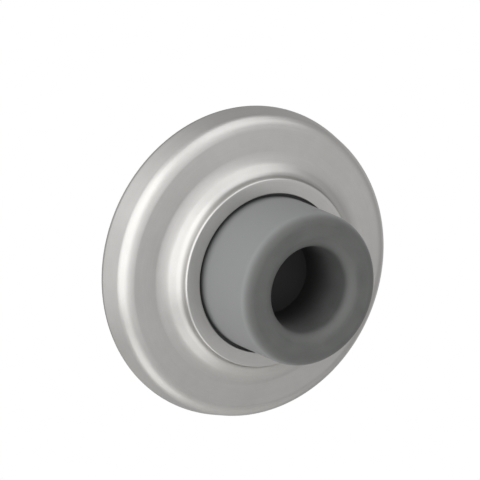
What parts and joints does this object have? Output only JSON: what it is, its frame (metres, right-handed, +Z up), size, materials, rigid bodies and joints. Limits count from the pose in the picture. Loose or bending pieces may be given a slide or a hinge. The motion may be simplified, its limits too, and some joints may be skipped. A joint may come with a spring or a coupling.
{
  "type": "wall door stop",
  "caption": "Round wall-mounted door stop: a satin stainless drawn rose with a rolled rim, a grey rubber bumper with a deep round recess, and a steel back plate with a screw hole.",
  "frame": {"origin": "centre of the face that lies on the wall, on the axis of the stop", "axes": "the stop stands out of the wall along -Y, +Y goes into the wall, +Z is up"},
  "size_m": [0.0634, 0.0254, 0.0634],
  "materials": {
    "satin_stainless": "fine satin",
    "grey_rubber": "matt moulded",
    "zinc_plated_steel": "dull bright zinc"
  },
  "bodies": {
    "root": {"rose": "satin_stainless", "bumper": "grey_rubber", "back_plate": "zinc_plated_steel"}
  },
  "joints": []
}
